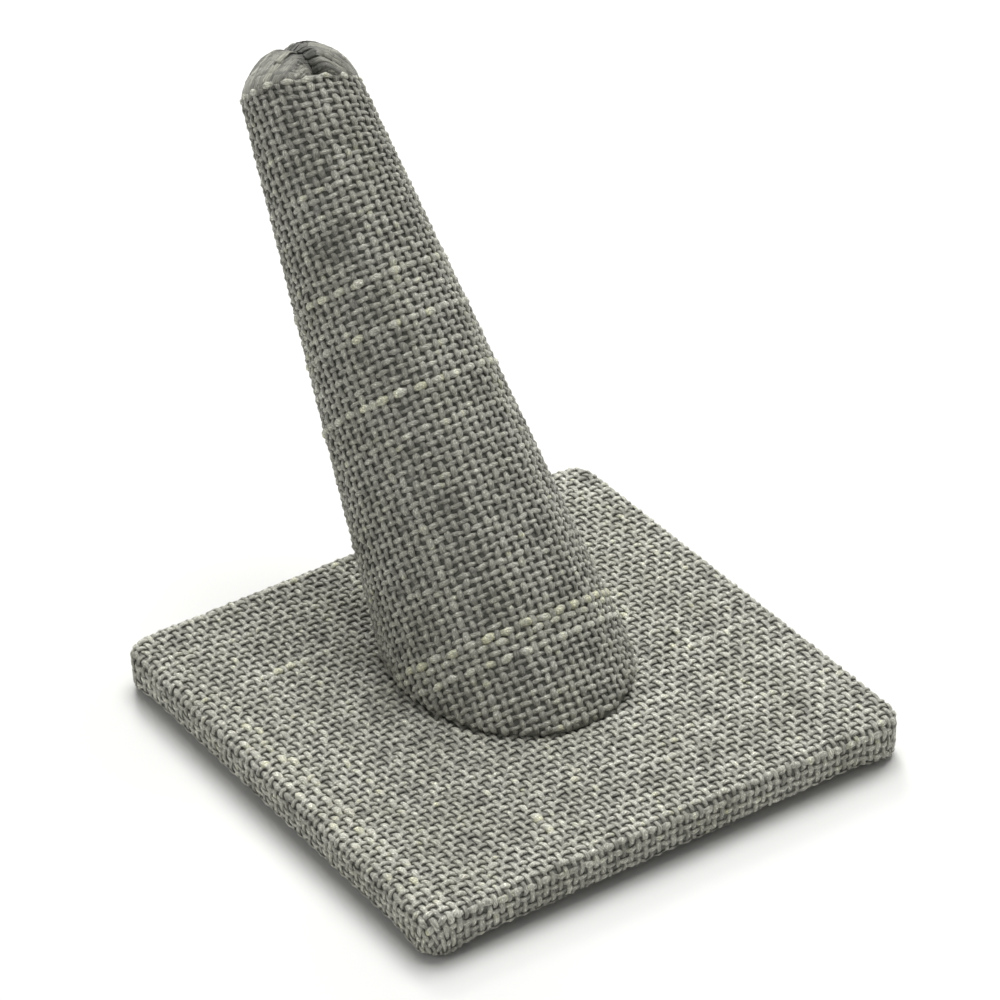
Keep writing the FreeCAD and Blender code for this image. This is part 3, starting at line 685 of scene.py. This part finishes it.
def sheet_piece(name, rows, columns, place, thickness, closed):
    """Makes a sheet from a grid whose points place carries or, by giving no number, cuts away.

    A closed sheet has its two long edges joined. Thickness is in metres.
    """
    shape = bmesh.new()
    bmesh.ops.create_grid(shape, x_segments=columns, y_segments=rows, size=0.5)
    flat = np.array([vert.co[:2] for vert in shape.verts]) + 0.5
    spots = place(flat[:, 0], flat[:, 1])
    for vert, spot in zip(shape.verts, np.nan_to_num(spots)):
        vert.co = Vector(spot * MM)
    cut = [vert for vert, spot in zip(shape.verts, spots) if np.isnan(spot[0])]
    bmesh.ops.delete(shape, geom=cut, context="VERTS")
    if closed:
        bmesh.ops.remove_doubles(shape, verts=shape.verts, dist=0.00002)
    bmesh.ops.recalc_face_normals(shape, faces=shape.faces)
    mesh = bpy.data.meshes.new(name)
    shape.to_mesh(mesh)
    shape.free()
    mesh.shade_smooth()
    piece = bpy.data.objects.new(name, mesh)
    bpy.context.scene.collection.objects.link(piece)
    skin = piece.modifiers.new("thickness", "SOLIDIFY")
    skin.thickness = thickness
    skin.offset = 0.0
    return piece


# Operators

# the base's yarns run this far under it, where the felt covers their ends
YARN_HEM = 5.4
# room for rows that slant
SLANT_ROOM = 2.5
# yarns get three points for each crossing up to this far past the base's half width, on the flat
# cloth, which is where its sides begin, and two beyond it
FINE_PAST = 0.4
# depth of the ground sheets under the cloth's middle layer: on the base, the finger and its tip
BASE_GROUND, FINGER_GROUND, TIP_GROUND = 0.08, 0.13, 0.14
# thickness of the ground sheets in metres, on the base and on the finger
BASE_SHEET, FINGER_SHEET = 0.00006, 0.0001
# height of both sets of yarns before they are pressed into the cloth's thickness, in half widths
BASE_STACK, FINGER_STACK = 4.1, 4.2
# cells of the base's ground sheet along each edge, and samples that measure what the mitres cut off
BASE_CELLS, MITRE_SAMPLES = 120, 161
# cells of the finger's ground sheet: round it, along it, and how many of these lie below the tip
ROUND_CELLS, LONG_CELLS, CONE_CELLS = 144, 150, 118
# the finger's yarns: rows past the rim and down to the foot, yarns to either side of the middle one
ROWS_PAST, ROWS_DOWN, YARNS_ASIDE = 6, 87, 40
# how far the finger's flat cloth goes to either side, down and up, before keep trims it
FINGER_SIDE, FINGER_DOWN, FINGER_UP = 40, 76, 6
# the finger's yarns start this far past the rim and end this far above the base
RIM_PAST, FOOT_GAP = 0.25, 0.16
# turn left open for the seam on each side of the back
SEAM_TURN = 0.02


class RINGSTAND_OT_base_linen(bpy.types.Operator):
    """Wraps the base: a ground sheet, mitred under the corners, and two sets of yarns over it"""
    bl_idname = "ringstand.base_linen"
    bl_label = "Base linen"

    def execute(self, context):
        values = context.scene.ring_stand
        form = BaseForm(values)
        edge = form.reach(values.hem_width / MM)

        def ground_place(s, t):
            u, v = (2 * s - 1) * edge, (2 * t - 1) * edge
            spots = form(u, v, 0 * s - BASE_GROUND)
            spots[form.mitred(u, v)] = np.nan
            return spots

        ground = sheet_piece("base_linen", BASE_CELLS, BASE_CELLS, ground_place, BASE_SHEET, False)
        dress(ground, ground_material(values))
        radius = values.yarn_radius / MM
        cross, long = values.cross_pitch / MM, values.long_pitch / MM
        keep = base_keep(form, form.reach(YARN_HEM))
        place = skewed(form)
        limit = form.reach(YARN_HEM) + SLANT_ROOM

        def lines(pitch):
            last = math.ceil(limit / pitch)
            return [(i, i * pitch, -limit, limit) for i in range(-last, last + 1)]

        def fine(at):
            return abs(at) < form.half + FINE_PAST

        warp, weft = Yarns("base_cross_yarns"), Yarns("base_long_yarns")
        weave(warp, lines(cross), 1, (cross, long), radius, radius, 3, keep, fine, base_slubs_cross)
        weave(weft, lines(long), 0, (long, cross), -radius * 1.05, radius * 1.08, 5, keep, fine,
              base_slubs_long)
        flatten = values.cloth_thickness / MM / (BASE_STACK * radius)
        pieces = [warp.finish(place, flatten), weft.finish(place, flatten)]
        dress(pieces[0], linen_material("linen_cross_yarn", values, (0.15, 0.5, 0.15)))
        dress(pieces[1], linen_material("linen_long_yarn", values, (0.5, 0.15, 0.15)))
        for piece in [ground] + pieces:
            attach(piece, "root")
        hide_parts("base_cloth")
        return {"FINISHED"}


class RINGSTAND_OT_finger_linen(bpy.types.Operator):
    """Covers the finger: a ground sheet, round and lengthwise yarns, and the gathers at its tip"""
    bl_idname = "ringstand.finger_linen"
    bl_label = "Finger linen"

    def execute(self, context):
        values = context.scene.ring_stand
        form = FingerForm(values)
        share = CONE_CELLS / LONG_CELLS

        def ground_place(s, t):
            turn = PIT_SIDE + math.pi + 2 * math.pi * s
            slope = np.sin(turn) * math.tan(LEAN) * math.tan(TAPER)
            # the foot is cut level, just above the base
            low = 0.3 - form.peak * slope / (1 - slope)
            part = np.clip(t / share, 0, 1)
            along = low + (form.rim(turn) - low) * part
            on_cone = form.cone(turn, along, 0 * s - FINGER_GROUND)
            rest = np.clip((t - share) / (1 - share), 0, 1)
            on_tip = form.tip(turn, rest, 0 * s - TIP_GROUND * (1 + rest))
            return np.where((t < share)[:, None], on_cone, on_tip)

        ground = sheet_piece("finger_linen", LONG_CELLS, ROUND_CELLS, ground_place, FINGER_SHEET, True)
        dress(ground, ground_material(values))
        radius = values.yarn_radius / MM
        weft_pitch, warp_pitch = values.finger_weft_pitch / MM, values.finger_warp_pitch / MM
        # the flat cloth is counted from the last row of the weave down
        origin = -(form.peak - LAST_WEFT) / math.cos(TAPER)

        def place(u, v, w):
            return form(u, v + origin, w)

        def keep(u, v):
            turn, along = form.rolled(u, v + origin)
            spot = form.cone(turn + GRAIN, along, 0 * u)
            inside = np.abs(turn) < math.pi - SEAM_TURN
            return inside & (v < RIM_PAST) & (spot[..., 2] > FOOT[2] + FOOT_GAP)

        def fine(at):
            return True

        wefts, warps = Yarns("finger_round_yarns"), Yarns("finger_long_yarns")
        lines = [(-i, -i * weft_pitch, -FINGER_SIDE, FINGER_SIDE)
                 for i in range(-ROWS_PAST, ROWS_DOWN + 1)]
        weave(wefts, lines, 0, (weft_pitch, warp_pitch), 0.92 * radius, 0.9 * radius, 7, keep, fine,
              finger_slubs_round)
        lines = [(i, i * warp_pitch, -FINGER_DOWN, FINGER_UP)
                 for i in range(-YARNS_ASIDE, YARNS_ASIDE + 1)]
        weave(warps, lines, 1, (warp_pitch, weft_pitch), -1.05 * radius, 1.2 * radius, 9, keep, fine,
              finger_slubs_long)
        flatten = values.cloth_thickness / MM / (FINGER_STACK * radius)
        pieces = [wefts.finish(place, flatten), warps.finish(place, flatten), self.gathers(form)]
        # pale_by makes darker copies of the one linen for the finger: the lengthwise yarns darkest,
        # then the gathered tip, then the round yarns; painted shade for how light falls on each
        dress(pieces[0], linen_material("linen_round_yarn", values, (0.5, 0.15, 0.15), 0.95))
        dress(pieces[1], linen_material("linen_lengthwise_yarn", values, (0.15, 0.5, 0.15), 0.8))
        # on the tip the flat cloth is counted in radians and in shares of the way to the furrow
        dress(pieces[2], linen_material("linen_gathered_yarn", values, (0.012, 0.25, 0.2), 0.86, 0))
        for piece in [ground] + pieces:
            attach(piece, "root")
        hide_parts("finger_cloth")
        # the cone's surface unrolled, with the lip under the foot and the bunched linen
        return {"FINISHED"}

    def gathers(self, form):
        """Fine yarns drawn together over the tip into the pit."""
        yarns = Yarns("finger_gathers")
        picker = np.random.default_rng(11)
        count = 150
        # from under the last row of the weave to deep in the furrow
        part = np.linspace(-0.05, 0.985, 30)
        for i in range(count):
            turn = 2 * math.pi * (i + picker.uniform(-0.25, 0.25)) / count
            wave = Waves(1100 + i, 0.7)
            # a yarn lies a little over or under the next, and starts below the last row of the weave
            lift = (0.04 * wave(part * 1.7 + 3) + picker.uniform(-0.12, 0.12)) * step(part, 0, 0.15)
            lift = lift - 0.15 * (1 - step(part, -0.05, 0.1))
            points = np.stack([turn + 0.012 * wave(part), part, lift], 1)
            half = 0.135 * (1 - 0.5 * step(part, 0.0, 1.0)) * picker.uniform(0.7, 1.3)
            # painted shade: each yarn's tone is darkened towards its end deep in the furrow
            yarns.add(points, half, picker.uniform(-3.6, 2.4) - 4.5 * step(part, 0.7, 0.97))
        return yarns.finish(form.tip, 1.0)


class RINGSTAND_OT_felt(bpy.types.Operator):
    """Lays the felt under the base"""
    bl_idname = "ringstand.felt"
    bl_label = "Felt pad"

    def execute(self, context):
        values = context.scene.ring_stand
        low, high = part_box("bottom_pad")
        level = values.hem_level
        size = (high[0] - low[0], high[1] - low[1], level)
        # in metres: gap to the hem, run of the slope up to the board, corner round, softened lower rim
        gap, slope, corner, rim = 0.0003, 0.0002, 0.003, 0.0002
        # points nearer than this are taken as the same
        near = 0.00001
        shape = bmesh.new()
        bmesh.ops.create_cube(shape, size=1.0)
        bmesh.ops.scale(shape, vec=size, verts=shape.verts)
        bmesh.ops.translate(shape, vec=(0.0, 0.0, level / 2), verts=shape.verts)
        # the middle rises inside the hem up to the board
        top = max(shape.faces, key=lambda face: face.calc_center_median().z)
        margin = high[0] - (values.base_half - values.hem_width - gap)
        for width, rise in ((margin - slope, 0.0), (slope, high[2] - level)):
            bmesh.ops.inset_region(shape, faces=[top], thickness=width, depth=rise,
                                   use_even_offset=True)
        upright = [e for e in shape.edges if (e.verts[0].co - e.verts[1].co).xy.length < near]
        bmesh.ops.bevel(shape, geom=upright, offset=corner, segments=8, profile=0.5, affect="EDGES",
                        material=-1)
        rims = [e for e in shape.edges if max(abs(v.co.z) for v in e.verts) < near]
        bmesh.ops.bevel(shape, geom=rims, offset=rim, segments=2, profile=0.5, affect="EDGES",
                        material=-1)
        mesh = bpy.data.meshes.new("felt_sheet")
        shape.to_mesh(mesh)
        shape.free()
        mesh.shade_smooth()
        piece = bpy.data.objects.new("felt_sheet", mesh)
        context.scene.collection.objects.link(piece)
        dress(piece, felt_material())
        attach(piece, "root")
        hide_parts("bottom_pad")
        return {"FINISHED"}


class RINGSTAND_OT_hidden_parts(bpy.types.Operator):
    """Finishes the board, the turned core, the screw and the thread"""
    bl_idname = "ringstand.hidden_parts"
    bl_label = "Hidden parts"

    def execute(self, context):
        finishes = {
            "base_board": board_material(),
            "finger_core": wood_material(),
            "fixing_screw": steel_material(),
            "gather_thread": thread_material(),
        }
        for name, finish in finishes.items():
            dress(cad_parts[name], finish)
        return {"FINISHED"}


class RINGSTAND_OT_stage(bpy.types.Operator):
    """Sets the pale floor, the soft studio light and the camera"""
    bl_idname = "ringstand.stage"
    bl_label = "Stage"

    def execute(self, context):
        scene = context.scene
        shape = bmesh.new()
        bmesh.ops.create_grid(shape, x_segments=1, y_segments=1, size=3.0)
        mesh = bpy.data.meshes.new("floor")
        shape.to_mesh(mesh)
        shape.free()
        floor = bpy.data.objects.new("floor", mesh)
        scene.collection.objects.link(floor)
        made, tree, shader = material("matt_white_paper")
        shader.inputs["Base Color"].default_value = colour("e8e8e6")
        shader.inputs["Roughness"].default_value = 0.9
        dress(floor, made)
        # a large soft light from above, a smaller one from behind on the right, and a weak fill
        self.light("overhead", (0.34, 0.30, 1.14), 0.9, 16.5)
        self.light("key_behind", (0.46, 1.00, 0.86), 0.35, 6.0)
        self.light("left_fill", (-0.9, 0.1, 0.45), 0.6, 1.2)
        world = bpy.data.worlds.new("studio")
        scene.world = world
        world.use_nodes = True
        back = world.node_tree.nodes["Background"]
        back.inputs["Color"].default_value = (1.0, 1.0, 1.0, 1.0)
        back.inputs["Strength"].default_value = 0.22
        scene.view_settings.view_transform = "Standard"
        # the camera that was fitted to the base's corners and the finger's outline in the photo
        camera = bpy.data.cameras.new("photo_camera")
        camera.sensor_width = 36.0
        camera.lens = 182.53
        camera.clip_start = 0.01
        eye = bpy.data.objects.new("photo_camera", camera)
        scene.collection.objects.link(eye)
        target = Vector((0.020201, 0.031657, 0.0013))
        spot = self.camera_spot(target, 0.541414, -32.966, 33.983)
        eye.location = spot
        look = (target - spot).to_track_quat("-Z", "Y")
        roll = Matrix.Rotation(math.radians(-1.891), 3, "Z")
        eye.rotation_euler = (look.to_matrix() @ roll).to_euler()
        scene.camera = eye
        return {"FINISHED"}

    def camera_spot(self, target, distance, azimuth, elevation):
        """Where the camera stands for those angles in degrees."""
        az, el = math.radians(azimuth), math.radians(elevation)
        back = Vector((math.sin(az) * math.cos(el), -math.cos(az) * math.cos(el), math.sin(el)))
        return target + back * distance

    def light(self, name, spot, size, power):
        """Adds one soft square light aimed at the stand, its size in metres and its power in watts."""
        data = bpy.data.lights.new(name, "AREA")
        data.shape = "SQUARE"
        data.size = size
        data.energy = power
        lamp = bpy.data.objects.new(name, data)
        bpy.context.scene.collection.objects.link(lamp)
        lamp.location = spot
        aim = Vector((0.0, 0.0, 0.02)) - Vector(spot)
        lamp.rotation_euler = aim.to_track_quat("-Z", "Y").to_euler()


class RINGSTAND_PT_panel(bpy.types.Panel):
    """Lists what makes the stand"""
    bl_idname = "RINGSTAND_PT_panel"
    bl_label = "Ring Display Stand"
    bl_space_type = "VIEW_3D"
    bl_region_type = "UI"
    bl_category = "Ring Stand"

    def draw(self, context):
        for kind in OPERATORS:
            self.layout.operator(kind.bl_idname)
        for name in RingStandSettings.__annotations__:
            self.layout.prop(context.scene.ring_stand, name)


OPERATORS = (
    RINGSTAND_OT_base_linen,
    RINGSTAND_OT_finger_linen,
    RINGSTAND_OT_felt,
    RINGSTAND_OT_hidden_parts,
    RINGSTAND_OT_stage,
)
CLASSES = (RingStandSettings,) + OPERATORS + (RINGSTAND_PT_panel,)


def register():
    """Adds the settings, operators and panel."""
    for kind in CLASSES:
        bpy.utils.register_class(kind)
    bpy.types.Scene.ring_stand = bpy.props.PointerProperty(type=RingStandSettings)


def unregister():
    """Takes them away again."""
    del bpy.types.Scene.ring_stand
    for kind in reversed(CLASSES):
        bpy.utils.unregister_class(kind)


def main():
    """Makes the whole scene in order."""
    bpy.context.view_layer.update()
    register()
    bpy.ops.ringstand.base_linen()
    bpy.ops.ringstand.finger_linen()
    bpy.ops.ringstand.felt()
    bpy.ops.ringstand.hidden_parts()
    bpy.ops.ringstand.stage()


if __name__ == "__main__":
    main()
